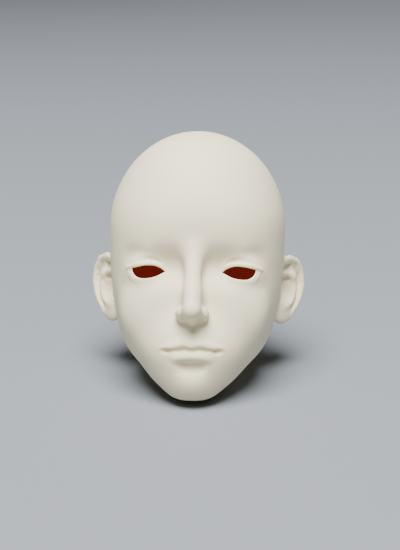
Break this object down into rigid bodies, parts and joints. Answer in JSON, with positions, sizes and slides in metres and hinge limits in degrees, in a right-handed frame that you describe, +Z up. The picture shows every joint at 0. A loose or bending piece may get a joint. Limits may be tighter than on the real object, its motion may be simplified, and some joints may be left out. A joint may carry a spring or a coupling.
{
  "type": "ball-jointed doll head",
  "caption": "Hollow cast doll head with open eye wells, ears and a round neck socket, a skull cap held by magnets, and a wire S-hook that hangs from a bar for the stringing elastic.",
  "frame": {"origin": "centre of the round neck socket in the plane of the neck rim, on which the head stands", "axes": "X across the head towards its own left ear, Y from the face to the back of the skull, Z up along the neck's axis"},
  "size_m": [0.0764, 0.0921, 0.0863],
  "materials": {
    "resin": "ivory cast resin, lightly sanded, matte",
    "bar_steel": "plain steel rod",
    "hook_wire": "bright steel wire",
    "magnet_plating": "nickel plated"
  },
  "bodies": {
    "head": {"head_shell": "resin", "hook_bar": "bar_steel", "shell_magnet_upper_left": "magnet_plating", "shell_magnet_upper_right": "magnet_plating", "shell_magnet_lower_left": "magnet_plating", "shell_magnet_lower_right": "magnet_plating"},
    "cap": {"head_cap": "resin", "cap_magnet_upper_left": "magnet_plating", "cap_magnet_upper_right": "magnet_plating", "cap_magnet_lower_left": "magnet_plating", "cap_magnet_lower_right": "magnet_plating"},
    "hook": {"s_hook": "hook_wire"}
  },
  "joints": [
    {"name": "cap_pull", "type": "slide", "parent": "head", "child": "cap", "axis": [0, 1, 0], "range_m": [0, 0.06]},
    {"name": "hook_swing", "type": "hinge", "parent": "head", "child": "hook", "pos_m": [0, 0, 0.015], "axis": [1, 0, 0], "range_deg": [-20, 20]}
  ]
}
